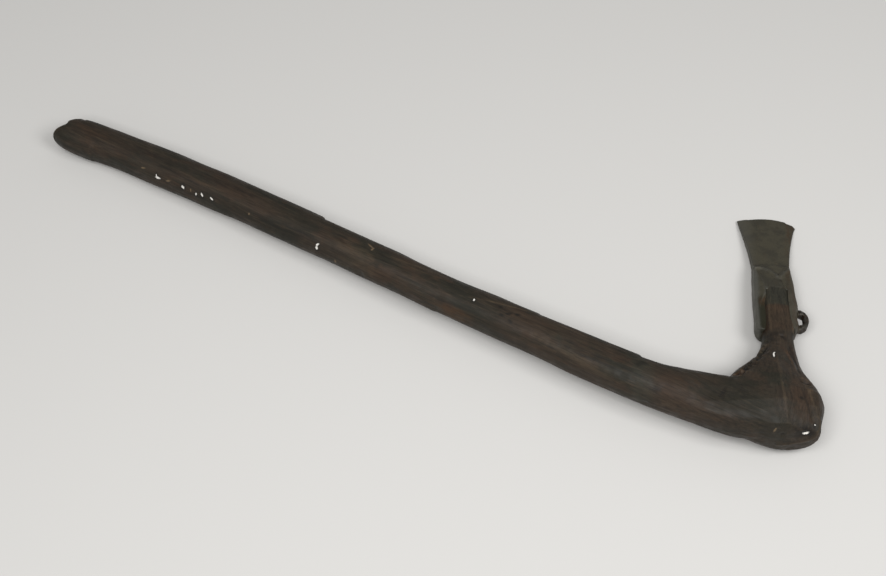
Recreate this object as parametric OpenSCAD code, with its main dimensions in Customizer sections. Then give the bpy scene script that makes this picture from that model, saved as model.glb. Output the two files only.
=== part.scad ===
// A long-handled bronze adze: a branch handle with a knee of trunk wood at its end, whose forked
// tongue is held by the wings of a cast bronze head. The tool is drawn in its own plane, with its
// handle along X and the head to +Y, and then laid down on its knee, its butt and one edge corner.

/* [Handle] */
// Length of the handle, from the middle of the knee to the butt
haft_l = 700; // [500:10:900]
// Width of the handle at the grip
grip_w = 33.5; // [26:0.5:42]
// Thickness of the handle at the grip
grip_t = 30; // [24:0.5:38]

/* [Knee and neck] */
// Thickness of the knee, the piece of trunk at the handle's end
knee_t = 55; // [48:1:62]
// Width of the knee across the head's axis
knee_w = 76; // [64:1:90]
// How far the knee reaches behind its middle, away from the head
knee_back = 33; // [28:1:45]
// Depth of the hewn flat that the knee rests on
rest_cut = 1; // [0.5:0.1:2]
// Width of the neck where it enters the head
neck_w = 27; // [25:0.5:32]
// Thickness of the neck where it enters the head
neck_t = 26; // [23:0.5:30]
// Angle between the handle and the head's axis
haft_angle = 64; // [55:1:80]
// Distance from the middle of the knee to the head's butt
seat = 73; // [64:1:85]

/* [Bronze head] */
// Length of the head, from its butt to the middle of its edge
head_l = 133; // [115:1:165]
// Length of the cutting edge, from corner to corner
edge_w = 52; // [44:1:62]
// How far the cutting edge bows out
edge_bow = 6; // [3:0.5:9]
// Width of the waist between the wings and the blade
waist_w = 32; // [30:0.5:36]
// Width across the wings
wing_w = 38; // [35:0.5:44]
// Thickness over the wings
wing_t = 28; // [27:0.5:34]
// How far the socket's middle lies from the blade's, towards the loop
socket_x = 0.8; // [0:0.2:3]
// Thickness of the blade just past the stop
blade_t = 9.5; // [8:0.5:12]
// Thickness of the worn cutting edge
edge_t = 0.9; // [0.6:0.1:1.5]
// Thickness of the web between the two tines
web_t = 5; // [4:0.5:7]
// Distance from the butt to the stop ledge
stop_u = 72; // [64:1:80]
// How far each wing is folded over its tine at the wing's middle
wing_fold = 5; // [3:0.5:7]

/* [Forked tongue] */
// Width of each tine
tine_w = 27; // [24:0.5:30]
// Height of each tine above the web
tine_h = 9.5; // [8:0.5:10.5]
// Gap left between a tine's tip and the stop ledge
tip_gap = 8; // [3:0.5:12]
// Clearance between the wood and the bronze, on each face
fit = 0.15; // [0.1:0.05:0.4]

/* [Side loop] */
// Length of the eye, along the head
eye_l = 13; // [10:0.5:16]
// Width of the eye, across the head
eye_w = 6.4; // [5.6:0.2:8]
// Width of the strap around the eye
strap_w = 4.4; // [4:0.2:7]
// Thickness of the strap, through the eye
strap_t = 6.5; // [5:0.5:10]
// Distance from the butt to the middle of the eye
eye_u = 16.5; // [15:0.5:30]
// How far the eye is cut into the side of the wings
eye_sunk = 2; // [0.6:0.2:2.4]

/* [Hidden] */
$fn = 48;
grip_r = grip_t / 2;
knee_r = knee_t / 2;
head_turn = 90 - haft_angle;
eye_x = socket_x + wing_w / 2 + eye_w / 2 - eye_sunk;
tine_l = stop_u - tip_gap;
// A circle whose segment is as wide as a tine and as high
tine_r = (tine_w * tine_w / 4 + tine_h * tine_h) / (2 * tine_h);
// The cutting edge is an arc, whose centre lies on the blade's middle line
edge_r = (edge_w * edge_w / 4 + edge_bow * edge_bow) / (2 * edge_bow);
edge_u = head_l - edge_r;
edge_lean = asin(edge_w / 2 / edge_r);
// How much lower the worn corner on the loop's side is
corner_wear = 1.4;
// How far the blade's sides curve in between the stop and the edge
blade_flare = 1.6;
// How far the bevel reaches back from the edge
bevel = 15;
// How high the stop ledge stands over the blade
ledge_h = 0.7;
// Where the wings are widest, from the butt
wing_u = 30;
// Where the blade's outline runs out past its edge
run_out = 3;
// How far a cut or a piece runs past the face that it opens or meets
over = 1;
// How far the tines' roots reach back into the neck
tine_root = 6;
// How much the tine is pared down three quarters of the way along, and how high its tip stands
tine_pare = 2.2;
tip_rise = 1.5;
function edge_point(turn, past = 0) = [
    (edge_r + past) * sin(turn),
    edge_u + (edge_r + past) * cos(turn)
];
left_corner = edge_point(-edge_lean, run_out);
right_corner = edge_point(edge_lean) - [0, corner_wear];

// A point of the head's plane as a point of the tool's plane
function from_head(p) = [
    p[0] * cos(head_turn) - (p[1] + seat) * sin(head_turn),
    p[0] * sin(head_turn) + (p[1] + seat) * cos(head_turn)
];

// The radius of each side of the long oval over the wings, which is flank_t thick at its ends
flank_t = 9;
oval_r = (wing_w * wing_w + (wing_t - flank_t) * (wing_t - flank_t)) / (4 * (wing_t - flank_t));
// Half of the gap between a pair of wings, where they come closest
gap_half = tine_w / 2 - wing_fold;

// The three places that the tool lies on: the knee, the butt and the edge, where its arc is lowest
rest_knee = [-8, 3, rest_cut - knee_r];
butt_y = -45;
rest_butt = [-haft_l + 14, butt_y, 0.8 - grip_r];
rest_turn = 15;
edge_low = from_head(edge_point(rest_turn));
rest_edge = [edge_low[0], edge_low[1], -edge_t / 2];
rest_up = cross(rest_edge - rest_knee, rest_butt - rest_knee);

// Lays the tool down, so that the three places lie at height 0 and the knee's is the origin
module lay() {
    rotate([
        atan2(rest_up[1], rest_up[2]),
        -atan2(rest_up[0], norm([rest_up[1], rest_up[2]])),
        0
    ])
        translate(-rest_knee) children();
}

// Turns the head's frame, with its axis along Y and its butt at the origin, into the tool's
module head_frame() {
    rotate([0, 0, head_turn]) translate([0, seat, 0]) children();
}

// A row of a table at place t, on a smooth curve through the rows
function smooth(rows, t) = let (
    i = min(floor(t), len(rows) - 2),
    f = t - i,
    a = rows[max(i - 1, 0)],
    b = rows[i],
    c = rows[i + 1],
    d = rows[min(i + 2, len(rows) - 1)]
) b + f / 2 * (c - a + f * (2 * a - 5 * b + 4 * c - d + f * (3 * b - a - 3 * c + d)));

// A signed power, which makes a circle squarer or more pointed
function bent(v, e) = sign(v) * pow(abs(v), 2 / e);

// A ring of n points around the origin, with its half width, half thickness and squareness
function ring(w, h, e, n) = [for (k = [0 : n - 1]) [
    w * bent(cos(360 * (k + 0.5) / n), e),
    h * bent(sin(360 * (k + 0.5) / n), e)
]];

// A closed skin over a row of rings that have the same number of points
module skin(rings) {
    n = len(rings[0]);
    last = len(rings) - 1;
    sides = [for (i = [0 : last - 1], k = [0 : n - 1], half = [0, 1]) let (
        a = i * n + k,
        b = i * n + (k + 1) % n
    ) half == 0 ? [a, a + n, b] : [b, a + n, b + n]];
    caps = [[for (k = [0 : n - 1]) k], [for (k = [n - 1 : -1 : 0]) last * n + k]];
    polyhedron(points = [for (r = rings, p = r) p], faces = concat(sides, caps));
}

// The handle's stations, from its butt: [share of the length, place across, place up, width, thickness],
// where the width and thickness are shares of the grip's
haft_rows = [
    [-1.003, butt_y - 6, -1, 0.35, 0.5],
    [-0.99, butt_y - 3, 0, 0.72, 0.85],
    [-0.975, butt_y, 0, 0.97, 0.97],
    [-0.94, -43, 0, 1.03, 1],
    [-0.9, -40, 0, 1.03, 1],
    [-0.82, -37.5, 0, 1.08, 1.03],
    [-0.72, -36, 0, 1.0, 1],
    [-0.62, -36, 0, 1.04, 1.03],
    [-0.54, -37, 0, 0.97, 1],
    [-0.42, -39, 0, 0.97, 1],
    [-0.3, -37.5, 0, 1.01, 1.05],
    [-0.21, -37, 0, 1.05, 1.12],
    [-0.14, -34, 0, 1.13, 1.22],
    [-0.085, -26.5, 0, 1.34, 1.36],
    [-0.04, -20, 0, 1.5, 1.5],
    [0, -12, 0, 1.35, 1.5],
    [0.03, -8, 0, 0.8, 0.9]
];

// The knee's and neck's stations, along the head's axis:
// [place along, place across, place up, half width, half thickness, squareness]
knee_rows = [
    [-knee_back, 5, -2, 0.2 * knee_w, 0.35 * knee_r, 2],
    [-knee_back + 3, 1, -1, 0.34 * knee_w, 0.72 * knee_r, 2.2],
    [-knee_back + 12, -6, 0, 0.46 * knee_w, 0.95 * knee_r, 2.3],
    [-knee_back + 25, -7.5, 0, 0.52 * knee_w, knee_r, 2.2],
    [4, -7.5, 0, 0.52 * knee_w, knee_r, 2.1],
    [0.25 * seat, -10, 0, 0.48 * knee_w, 0.9 * knee_r, 2.0],
    [0.42 * seat, -9.5, 0, 0.38 * knee_w, 0.78 * knee_r, 1.9],
    [0.62 * seat, -3, 0, neck_w / 2 + 5, neck_t / 2 + 3.5, 1.9],
    [0.8 * seat, socket_x - 1.5, 0, neck_w / 2 + 1, neck_t / 2 + 0.5, 2.0],
    [seat - 5, socket_x - 0.5, 0, neck_w / 2, neck_t / 2, 2.1],
    [seat - fit, socket_x, 0, neck_w / 2, neck_t / 2, 2.2]
];

// The branch, from its butt to inside the knee
module branch(n = 20, fine = 2) {
    skin([for (t = [0 : 1 / fine : len(haft_rows) - 1]) let (s = smooth(haft_rows, t))
        [for (p = ring(s[3] * grip_w / 2, s[4] * grip_r, 2.3, n)) [s[0] * haft_l, s[1] + p[0], s[2] + p[1]]]
    ]);
}

// The knee and neck, along the head's axis
module knee(n = 24, fine = 2) {
    rotate([0, 0, head_turn])
        skin([for (t = [0 : 1 / fine : len(knee_rows) - 1]) let (s = smooth(knee_rows, t))
            [for (p = ring(s[3], s[4], s[5], n)) [s[1] - p[0], s[0], s[2] + p[1]]]
        ]);
}

// The outline of a tine, or of the channel that it fits: straight sides and a round end
module tine_outline(length, width, start) {
    translate([-width / 2, start]) square([width, length - width / 2 - start]);
    translate([0, length - width / 2]) circle(d = width);
}

// One side of the channel in the head: a rounded bar that lies on the web
module tine(length, start, grow) {
    intersection() {
        translate([0, start - over, web_t / 2 + tine_h - tine_r])
            rotate([-90, 0, 0]) cylinder(r = tine_r + grow, h = length - start + 3 * over);
        translate([0, 0, web_t / 2 + fit - grow])
            linear_extrude(2 * tine_h) tine_outline(length + grow, tine_w + 2 * grow, start);
    }
}

// A tine seen from its side, as [along, up]: it is pared down to the blade's level at its tip
module tine_side() {
    polygon([
        [-tine_root - over, 0], [-tine_root - over, web_t / 2 + tine_h + over],
        [tine_l * 0.4, web_t / 2 + tine_h], [tine_l * 0.75, web_t / 2 + tine_h - tine_pare],
        [tine_l, blade_t / 2 + tip_rise], [tine_l, 0]
    ]);
}

// The handle, knee, neck and forked tongue, hewn from one piece of wood
module haft() {
    color("#3e362e") {
        difference() {
            lay() {
                branch();
                knee();
            }
            // The hewn flat under the knee and the worn place under the butt
            translate([-1.5 * haft_l, -haft_l, -knee_t]) cube([2 * haft_l, 2 * haft_l, knee_t]);
        }
        lay() head_frame() translate([socket_x, 0, 0])
            for (side = [0, 1]) mirror([0, 0, side]) intersection() {
                tine(tine_l, -tine_root, 0);
                rotate([90, 0, 90]) translate([0, 0, -tine_w]) linear_extrude(2 * tine_w) tine_side();
            }
    }
}

// Points from a to b, without b, on a curve that bows out to the left by s
function bow(a, b, s, n = 8) = [for (i = [0 : n - 1]) let (t = i / n, d = (b - a) / norm(b - a))
    a + t * (b - a) + 4 * s * t * (1 - t) * [-d[1], d[0]]];

// The head seen on its face, without its loop
module head_outline() {
    left = socket_x - wing_w / 2;
    right = socket_x + wing_w / 2;
    polygon(concat(
        bow([left + 4, 0], [left, 5], 1, 4),
        bow([left, 5], [-waist_w / 2, stop_u], 0.3),
        bow([-waist_w / 2, stop_u], left_corner, -blade_flare),
        [left_corner, [0, head_l + run_out], edge_point(edge_lean * 0.7, run_out)],
        bow(right_corner, [waist_w / 2, stop_u], -blade_flare),
        bow([waist_w / 2, stop_u], [right, wing_u], -0.6),
        bow([right, wing_u], [right - 2, 7], 0.4, 4),
        bow([right - 2, 7], [right - 6, 0], 1, 4)
    ));
}

// The upper half of the head seen from its side, as [along, up]
module head_side() {
    top = wing_t / 2;
    ledge = blade_t / 2 + ledge_h;
    side = concat(
        [[0, 0]],
        bow([0, top - 2.5], [stop_u * 0.4, top], 0.5, 4),
        [[stop_u * 0.4, top], [stop_u + 2, ledge], [head_l + over, ledge], [head_l + over, 0]]
    );
    polygon(side);
    mirror([0, 1]) polygon(side);
}

// The blade's thickness, which falls from the stop to the whole arc of the edge
module blade_disc() {
    translate([0, edge_u, 0]) rotate_extrude($fn = 180) polygon([
        [0, -blade_t / 2], [edge_r - bevel, -blade_t / 4], [edge_r, -edge_t / 2],
        [edge_r, edge_t / 2], [edge_r - bevel, blade_t / 4], [0, blade_t / 2]
    ]);
}

// The long oval that the wings' outsides follow
module wing_oval() {
    intersection_for(side = [-1, 1])
        translate([socket_x, -over, side * (oval_r - wing_t / 2)])
            rotate([-90, 0, 0]) cylinder(r = oval_r, h = stop_u + 3 * over, $fn = 96);
}

// The gap between the margins of a pair of wings, over the tine
module wing_gap() {
    margin_r = 2.2 * stop_u;
    translate([0, 0, web_t / 2 + tine_h / 2]) linear_extrude(wing_t) difference() {
        translate([-tine_w / 2, -over]) square([tine_w, stop_u - tine_w / 2 + over]);
        for (side = [-1, 1])
            translate([side * (gap_half + margin_r), stop_u * 0.45]) circle(r = margin_r, $fn = 160);
    }
}

// The loop beside the wings, without its eye
module loop() {
    translate([0, 0, -strap_t / 2]) linear_extrude(strap_t) intersection() {
        loop_outline();
        translate([socket_x, 0]) square([wing_w, stop_u]);
    }
}

// The outside of the strap, round the eye
module loop_outline() {
    translate([eye_x + eye_w / 2 - eye_l / 2, eye_u]) circle(r = eye_l / 2 + strap_w);
}

// The eye of the loop, for a cord or a peg
module eye() {
    translate([eye_x, eye_u, -wing_t / 2]) linear_extrude(wing_t) {
        translate([-eye_w / 2, -eye_l / 2 + eye_w / 2]) square([eye_w, eye_l - eye_w]);
        for (end = [-1, 1]) translate([0, end * (eye_l - eye_w) / 2]) circle(d = eye_w);
    }
}

// The head's outline, as a slab thicker than the head
module slab() {
    translate([0, 0, -wing_t]) linear_extrude(2 * wing_t) head_outline();
}

// The cast bronze head: blade, stop, web, two pairs of wings and the side loop
module adze_head() {
    color("#46423a") lay() head_frame() {
        difference() {
            union() {
                intersection() {
                    slab();
                    rotate([90, 0, 90]) translate([0, 0, -edge_w]) linear_extrude(2 * edge_w) head_side();
                    wing_oval();
                }
                intersection() {
                    slab();
                    blade_disc();
                }
                loop();
            }
            for (side = [0, 1]) mirror([0, 0, side]) translate([socket_x, 0, 0]) {
                tine(stop_u, -over, fit);
                wing_gap();
            }
            eye();
        }
    }
}

haft();
adze_head();
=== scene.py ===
# %% [markdown]
# # A long-handled bronze adze
# The real tool is two pieces. One piece of wood is cut where a branch leaves its trunk: the branch is
# the handle, and the block of trunk is the knee, which is pared down to a neck and a forked tongue.
# The other piece is a bronze casting, whose wings are hammered over the fork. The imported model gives
# both pieces their true size and place. Here each one gets the surface of the real thing: hewn facets,
# a broken butt, gouges and grain on the wood, and worn, rounded, stained bronze.

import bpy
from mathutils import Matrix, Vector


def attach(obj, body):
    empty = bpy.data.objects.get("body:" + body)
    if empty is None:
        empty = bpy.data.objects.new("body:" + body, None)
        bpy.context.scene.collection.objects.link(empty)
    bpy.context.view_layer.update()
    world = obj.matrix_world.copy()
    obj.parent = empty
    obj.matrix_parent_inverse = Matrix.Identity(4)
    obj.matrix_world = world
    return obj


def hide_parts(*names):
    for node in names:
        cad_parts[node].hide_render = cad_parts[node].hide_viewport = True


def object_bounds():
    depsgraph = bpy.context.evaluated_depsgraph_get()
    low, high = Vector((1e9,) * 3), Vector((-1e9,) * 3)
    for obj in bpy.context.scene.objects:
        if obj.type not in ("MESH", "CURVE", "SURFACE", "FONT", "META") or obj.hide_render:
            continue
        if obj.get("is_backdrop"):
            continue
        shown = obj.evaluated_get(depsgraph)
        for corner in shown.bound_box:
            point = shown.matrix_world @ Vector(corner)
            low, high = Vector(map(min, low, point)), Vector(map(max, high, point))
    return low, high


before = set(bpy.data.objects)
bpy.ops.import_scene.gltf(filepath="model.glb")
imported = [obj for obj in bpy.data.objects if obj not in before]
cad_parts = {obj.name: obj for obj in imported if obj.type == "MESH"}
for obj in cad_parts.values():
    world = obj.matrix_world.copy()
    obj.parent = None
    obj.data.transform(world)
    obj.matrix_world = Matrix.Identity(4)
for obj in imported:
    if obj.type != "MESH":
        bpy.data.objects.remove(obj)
cad_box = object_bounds()
print("packed nodes:", sorted(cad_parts))

# %% Modules and units
import itertools
import math

import bmesh
import bpy
import numpy as np
from mathutils import Vector

MM = 0.001
print("box of the packed model, mm:", [[round(x / MM, 1) for x in corner] for corner in cad_box])

# %% [markdown]
# ## The tool's own plane
# A maker thinks of the handle as one axis and of the head as another, but the tool lies tilted on the
# table, on its knee, its butt and its edge. So all carving is done in the tool's own plane, where the
# handle runs along X and the head's axis is turned a little from Y. These are the same driving sizes
# and the same three resting places that the design has, and they give the tilt.

# %% Sizes that the wood and the bronze share, in millimetres
HAFT = 700.0
GRIP_THICK = 30.0
KNEE_THICK = 55.0
REST_CUT = 1.0
HEAD_TURN = math.radians(26)
SEAT = 73.0
HEAD = 133.0
EDGE_WIDE = 52.0
EDGE_BOW = 6.0
EDGE_THICK = 0.9
SOCKET_X = 0.8
TINE_WIDE = 27.0


# %% Between the head's axis and the tool's plane
def head_to_tool(points):
    """Points as (across, along, up) from the bronze's butt, given in the tool's plane."""
    v, u, z = np.asarray(points, float).T
    c, s = math.cos(HEAD_TURN), math.sin(HEAD_TURN)
    return np.stack([v * c - (u + SEAT) * s, v * s + (u + SEAT) * c, z], axis=-1)


def tool_to_head(points):
    """Points of the tool's plane, given as (across, along, up) from the bronze's butt."""
    x, y, z = np.asarray(points, float).T
    c, s = math.cos(HEAD_TURN), math.sin(HEAD_TURN)
    return np.stack([x * c + y * s, y * c - x * s - SEAT, z], axis=-1)


print("the bronze's butt in the tool's plane:", head_to_tool([0, 0, 0]).round(1))

# %% The three places that the tool rests on, and the tilt that they give
EDGE_RADIUS = (EDGE_WIDE**2 / 4 + EDGE_BOW**2) / (2 * EDGE_BOW)
EDGE_CENTRE = HEAD - EDGE_RADIUS
REST_TURN = math.radians(15)
knee_foot = np.array([-8, 3, REST_CUT - KNEE_THICK / 2])
butt_foot = np.array([14 - HAFT, -45, 0.8 - GRIP_THICK / 2])
edge_foot = head_to_tool([
    EDGE_RADIUS * math.sin(REST_TURN),
    EDGE_CENTRE + EDGE_RADIUS * math.cos(REST_TURN),
    -EDGE_THICK / 2,
])
up = np.cross(edge_foot - knee_foot, butt_foot - knee_foot)
tilt_x = math.atan2(up[1], up[2])
tilt_y = -math.atan2(up[0], math.hypot(up[1], up[2]))
turn_x = np.array([
    [1, 0, 0],
    [0, math.cos(tilt_x), -math.sin(tilt_x)],
    [0, math.sin(tilt_x), math.cos(tilt_x)],
])
turn_y = np.array([
    [math.cos(tilt_y), 0, math.sin(tilt_y)],
    [0, 1, 0],
    [-math.sin(tilt_y), 0, math.cos(tilt_y)],
])
LAY = turn_y @ turn_x
print("tilt in degrees:", round(math.degrees(tilt_x), 2), round(math.degrees(tilt_y), 2))


# %% Between the tool's plane and the table
def to_table(points):
    """Points of the tool's plane in millimetres, as metres on the table."""
    return (np.asarray(points, float) - knee_foot) @ LAY.T * MM


def from_table(points):
    """Points on the table in metres, as millimetres in the tool's plane."""
    return np.asarray(points, float) / MM @ LAY + knee_foot


# %% [markdown]
# ## Where the tool is looked at from
# The eye stands in front of the handle, far away and high up. Its place is needed here already,
# because small marks are put where this eye sees them on the carved surface.

# %% The eye
CAMERA_TURN = math.radians(28.7)
CAMERA_RISE = math.radians(58)
CAMERA_AWAY = 1.516
TOOL_MIDDLE = np.array([-0.3026, -0.0194, 0.0])
VIEW_RIGHT = np.array([math.cos(CAMERA_TURN), math.sin(CAMERA_TURN), 0])
VIEW_AWAY = np.array([-math.sin(CAMERA_TURN), math.cos(CAMERA_TURN), 0])
VIEW_BACK = -VIEW_AWAY * math.cos(CAMERA_RISE) + np.array([0, 0, math.sin(CAMERA_RISE)])
eye_place = TOOL_MIDDLE + VIEW_BACK * CAMERA_AWAY
print("the eye stands at", eye_place.round(3))

# %% [markdown]
# ## An even skin to carve
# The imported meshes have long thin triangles, which can't take a dent. A voxel remesh lays an even net
# of small faces over the same shape, as a sculptor would start. The net's points go into one array, so
# that every tool below works on all of them at once.

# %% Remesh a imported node
def even_skin(node, name, voxel):
    """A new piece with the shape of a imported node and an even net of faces."""
    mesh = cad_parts[node].data.copy()
    mesh.materials.clear()
    welded = bmesh.new()
    welded.from_mesh(mesh)
    bmesh.ops.remove_doubles(welded, verts=welded.verts, dist=1e-6)
    welded.to_mesh(mesh)
    welded.free()
    rough = bpy.data.objects.new(name + "_rough", mesh)
    bpy.context.scene.collection.objects.link(rough)
    net = rough.modifiers.new("even net", "REMESH")
    net.mode = "VOXEL"
    net.voxel_size = voxel * MM
    net.use_smooth_shade = True
    shaped = rough.evaluated_get(bpy.context.evaluated_depsgraph_get())
    piece = bpy.data.objects.new(name, bpy.data.meshes.new_from_object(shaped))
    bpy.data.objects.remove(rough)
    bpy.context.scene.collection.objects.link(piece)
    print(name, "has", len(piece.data.vertices), "points")
    return piece


# %% A block of clay: the piece's points, and what moves them
class Clay:
    """The points of a piece in the tool's plane, in millimetres."""

    def __init__(self, piece):
        self.mesh = piece.data
        self.count = len(self.mesh.vertices)
        places = np.empty(self.count * 3, np.float32)
        self.mesh.vertices.foreach_get("co", places)
        self.at = from_table(places.reshape(-1, 3))
        ends = np.empty(len(self.mesh.edges) * 2, np.int32)
        self.mesh.edges.foreach_get("vertices", ends)
        self.ends = ends.reshape(-1, 2)
        self.degree = np.bincount(ends, minlength=self.count)
        self.settle()

    def around(self, values):
        """The mean of each column of values over every point's neighbours."""
        a, b = self.ends.T
        sums = [np.bincount(a, c[b], self.count) + np.bincount(b, c[a], self.count) for c in values.T]
        return (sums / self.degree).T

    def relax(self, share, rounds):
        """Moves points towards the middle of their neighbours, which smooths the surface."""
        share = np.reshape(share, (-1, 1))
        for _ in range(rounds):
            self.at += share * (self.around(self.at) - self.at)

    def settle(self):
        """Writes the points to the mesh, none of them below the table, and reads its directions."""
        places = to_table(self.at)
        places[:, 2] = np.maximum(places[:, 2], 0)
        self.at = from_table(places)
        self.mesh.vertices.foreach_set("co", places.astype(np.float32).ravel())
        self.mesh.update()
        facing = np.empty(self.count * 3, np.float32)
        self.mesh.vertex_normals.foreach_get("vector", facing)
        self.out = facing.reshape(-1, 3) @ LAY

    def push(self, amount):
        """Moves every point out along its own direction, in millimetres."""
        self.at += self.out * amount[:, None]

    def seen(self, place, beside_by=1.6, skin_depth=2.5):
        """Moves a place along the line of sight until it lies on the surface."""
        sight = from_table(eye_place) - place
        sight /= np.linalg.norm(sight)
        off = self.at - place
        depth = off @ sight
        beside = np.linalg.norm(off - depth[:, None] * sight, axis=1)
        front = depth[beside < beside_by].max()
        near = (beside < beside_by) & (depth > front - skin_depth)
        return tuple(place + depth[near].mean() * sight)

    def keep(self, name, values):
        """Stores one number for each point, for a material to read."""
        layer = self.mesh.attributes.new(name, "FLOAT", "POINT")
        layer.data.foreach_set("value", values.astype(np.float32))


print("the clay is worked in millimetres, in the plane where the tool is drawn")


# %% [markdown]
# ## Chance that repeats
# Old surfaces are uneven without a pattern. Noise from a hash of each grid cell gives the same
# unevenness on every run. Ripples are soft waves; dishes are shallow round hollows that meet in
# ridges, as the cuts of a hand tool do. Both take a size for each axis, so they can follow the grain.

# %% Ripples and dishes
def scatter(cells, seed):
    """A repeatable number from 0 to 1 for each cell of a grid."""
    mixed = cells[..., 0] * 73856093 ^ cells[..., 1] * 19349663 ^ cells[..., 2] * 83492791
    mixed = (mixed ^ seed * 40503 ^ mixed >> 13) * 1274126177
    return ((mixed ^ mixed >> 16) & 0xFFFFFF) / 0xFFFFFF


def ripples(points, size, seed):
    """Soft waves from -1 to 1, whose length along each axis is given by size."""
    spots = points / np.array(size, float)
    cells = np.floor(spots).astype(np.int64)
    part = spots - cells
    part = part * part * (3 - 2 * part)
    total = np.zeros(len(points))
    for corner in itertools.product((0, 1), repeat=3):
        share = np.where(corner, part, 1 - part).prod(axis=1)
        total += share * scatter(cells + np.array(corner), seed)
    return 2 * total - 1


def dishes(points, size, seed):
    """Shallow hollows with ridges between them: 0 in a hollow's middle and about 1 on a ridge."""
    spots = points / np.array(size, float)
    cells = np.floor(spots).astype(np.int64)
    total = np.full(len(points), 4e-3)
    for step in itertools.product((-1, 0, 1), repeat=3):
        home = cells + np.array(step)
        middle = home + np.stack([scatter(home, seed + k) for k in range(3)], axis=-1)
        total += np.exp(-8 * ((spots - middle) ** 2).sum(axis=1))
    return -np.log(total) / 8


def ease(value, low, high):
    """0 up to low, 1 from high on, and a soft step between them."""
    t = np.clip((np.asarray(value, float) - low) / (high - low), 0, 1)
    return t * t * (3 - 2 * t)


def bump_at(points, middle, reach):
    """1 at a place, falling softly to 0 at the given reach along each axis."""
    away = (((points - np.array(middle, float)) / np.array(reach, float)) ** 2).sum(axis=1)
    return np.clip(1 - away, 0, 1) ** 2


def along_line(points, line, reach):
    """1 on a line through the given places, falling softly to 0 over the given reach."""
    line = np.array(line, float)
    flat = points[:, : line.shape[1]]
    nearest = np.full(len(points), 9e9)
    for start, end in zip(line[:-1], line[1:]):
        step = end - start
        share = np.clip(((flat - start) @ step) / (step @ step), 0, 1)
        nearest = np.minimum(nearest, ((flat - start - share[:, None] * step) ** 2).sum(axis=1))
    return np.exp(-nearest / reach**2)


print("ripples at three places:", ripples(np.diag([0.4, 1.5, 2.6]), (1, 1, 1), 1).round(2))


# %% [markdown]
# ## The handle, knee and tongue
# The wood is one growth, so it stays one piece. First the crease where the branch enters the trunk is
# smoothed away, because in living wood the grain flows round it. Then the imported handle's flat faces
# are smoothed round, as a shave leaves them. Smoothing shrinks a rod a little, so a small push gives
# the thickness back. The tongue inside the bronze has to keep its size, so a mask holds it still.

# %% Start the wood
WOOD_NET = 0.9
ELBOW_ROUNDS = 150
SHAFT_ROUNDS = 110
SHAFT_SHRINKS = 0.65
haft = even_skin("haft", "haft_carved", WOOD_NET)
wood = Clay(haft)
across, along, height = tool_to_head(wood.at).T
# 0 on the tongue inside the bronze, and 1 everywhere else
loose = np.maximum(ease(-along, 1.5, 5), ease(-across, 24, 30))
# 1 on the two broad faces round the elbow
elbow = np.exp(-(((wood.at[:, 0] + 44) / 26) ** 2)) * ease(-along, 32, 46)
elbow = elbow * ease(np.abs(height), 11, 17)
wood.relax(0.5 * elbow * loose, ELBOW_ROUNDS)
wood.relax(0.5 * loose, 4)
wood.settle()
# 0 on the knee, and 1 along the whole handle
shaved = ease(-wood.at[:, 0], 60, 95)
wood.relax(0.5 * shaved, SHAFT_ROUNDS)
wood.settle()
wood.push(SHAFT_SHRINKS * shaved)
print("the elbow is smoothed over", int((elbow > 0.5).sum()), "points")

# %% [markdown]
# ## Hewing the knee
# The block of trunk was trimmed with long cuts. Its upper face has two slopes that meet in a ridge
# from the neck to the middle of the knee: a nearly flat one towards the handle, and a steeper one
# away from it, which ends in a rim where the round of the trunk begins. A cut is a limit on the
# height: what stands above the limit is pressed down to it.

# %% The ridge and its two slopes
RIDGE_ALONG = [-106, -103, -98, -92, -84, -69, -55, -42, -28, -15]
RIDGE_HIGH = [15.5, 18.2, 21.2, 24.0, 26.6, 27.0, 24.4, 21.1, 16.3, 13.4]
LEFT_SLOPE = 0.19
RIGHT_SLOPE = 0.37
SOFT = 0.5


def pressed(value, limit, soft=SOFT):
    """The lower of two values, with the corner between them rounded."""
    apart = np.abs(value - limit)
    return np.minimum(value, limit) - soft * np.log1p(np.exp(-apart / soft))


def hew_knee():
    """Cuts the two upper slopes of the knee."""
    across, along, height = tool_to_head(wood.at).T
    ridge = np.interp(along, [-106, -70, -28, -10], [-2, -6, -6.5, -3])
    crest = np.interp(along, RIDGE_ALONG, RIDGE_HIGH)
    side = across - ridge
    limit = crest - np.where(side < 0, -side * LEFT_SLOPE, side * RIGHT_SLOPE)
    share = ease(-along, 14, 26) * ease(wood.at[:, 0], -78, -46) * (height > 0)
    wood.at[:, 2] += share * (pressed(height, limit) - height)


hew_knee()
wood.settle()
print("the ridge stands", max(RIDGE_HIGH), "mm over the tool's middle plane")

# %% [markdown]
# Smaller cuts and losses come next: a notch at the right shoulder with a lump below it, a knot on the
# outer slope, hollows in the end of the trunk, a furrow down the neck, a crack at the elbow, and the
# scalloped shoulder on the inside of the elbow, where the wood was chopped away bite by bite. Each is
# a soft dent of a chosen reach, pushed into the surface, because single numbers are easy to shift
# until a dent sits right, while modelled points are not.

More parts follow.
